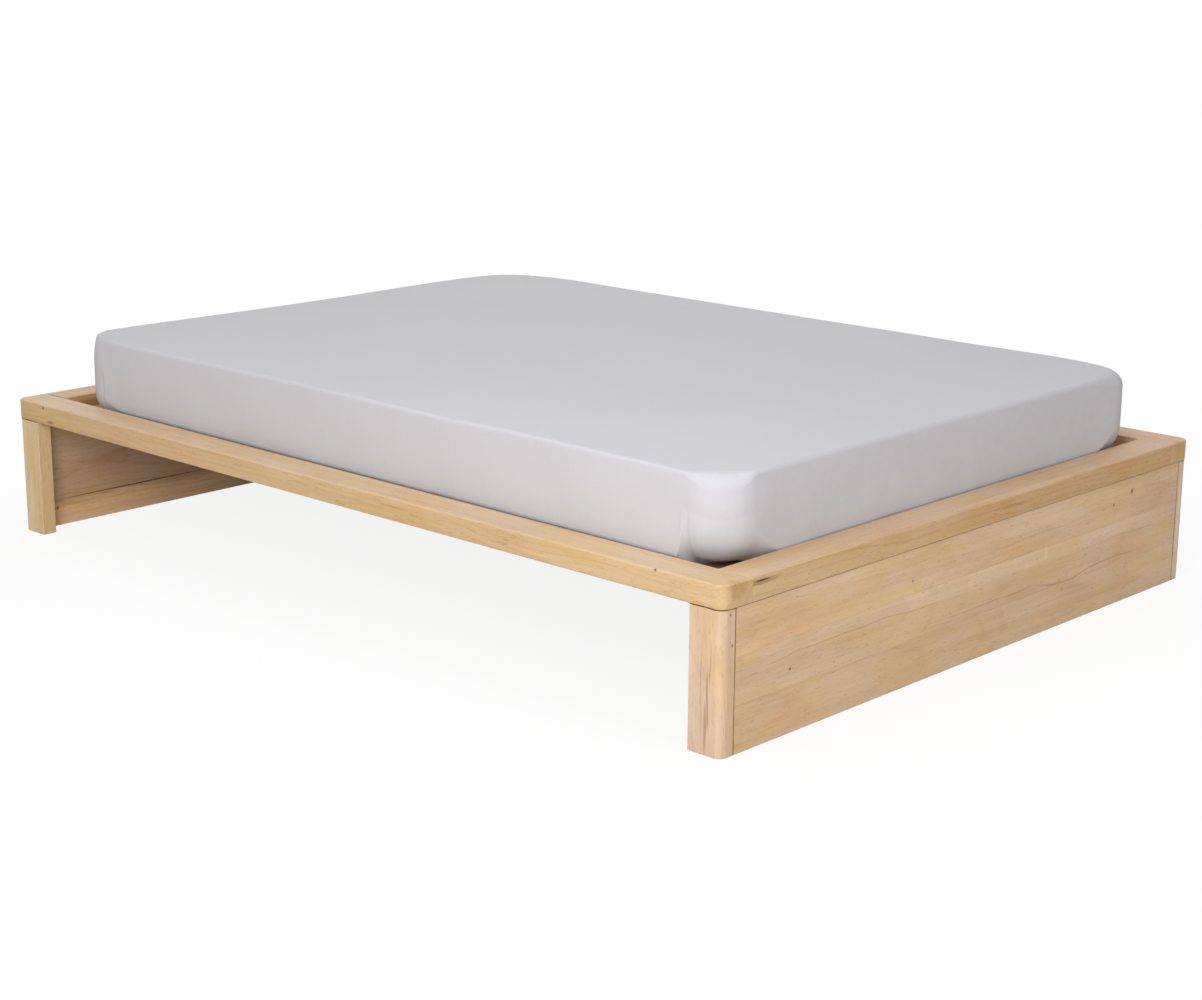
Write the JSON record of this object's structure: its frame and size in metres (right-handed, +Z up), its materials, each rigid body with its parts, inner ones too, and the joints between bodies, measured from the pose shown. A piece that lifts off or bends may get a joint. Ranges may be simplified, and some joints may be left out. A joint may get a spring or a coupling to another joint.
{
  "type": "floor bed",
  "caption": "Low platform bed in pale beech: rails lie flat on round-cornered legs, solid panels close both ends, and a grey-sheeted mattress sits inside the frame on slats.",
  "frame": {"origin": "on the floor under the middle of the bed", "axes": "+X along the length of the bed, +Y across it towards the rear side rail, +Z up"},
  "size_m": [2.18, 1.58, 0.4819],
  "materials": {
    "oiled_beech": "satin",
    "slat_beech": "matte",
    "mattress_cover": "matte",
    "grey_sheet": "matte"
  },
  "bodies": {
    "bed_frame": {"side_rail_front": "oiled_beech", "side_rail_rear": "oiled_beech", "end_rail_left": "oiled_beech", "end_rail_right": "oiled_beech", "leg_front_left": "oiled_beech", "leg_front_right": "oiled_beech", "leg_rear_left": "oiled_beech", "leg_rear_right": "oiled_beech", "end_panel_left": "oiled_beech", "end_panel_right": "oiled_beech", "side_ledger_front": "slat_beech", "side_ledger_rear": "slat_beech", "end_ledger_left_front": "slat_beech", "end_ledger_left_rear": "slat_beech", "end_ledger_right_front": "slat_beech", "end_ledger_right_rear": "slat_beech", "centre_beam": "slat_beech", "beam_block_left": "slat_beech", "beam_block_right": "slat_beech", "centre_foot": "slat_beech", "slat_01": "slat_beech", "slat_02": "slat_beech", "slat_03": "slat_beech", "slat_04": "slat_beech", "slat_05": "slat_beech", "slat_06": "slat_beech", "slat_07": "slat_beech", "slat_08": "slat_beech", "slat_09": "slat_beech", "slat_10": "slat_beech", "slat_11": "slat_beech", "slat_12": "slat_beech", "slat_13": "slat_beech", "slat_14": "slat_beech"},
    "bedding": {"mattress": "mattress_cover", "fitted_sheet": "grey_sheet"}
  },
  "joints": [
    {"name": "mattress_lift", "type": "slide", "parent": "bed_frame", "child": "bedding", "axis": [0, 0, 1], "range_m": [0, 0.4]}
  ]
}
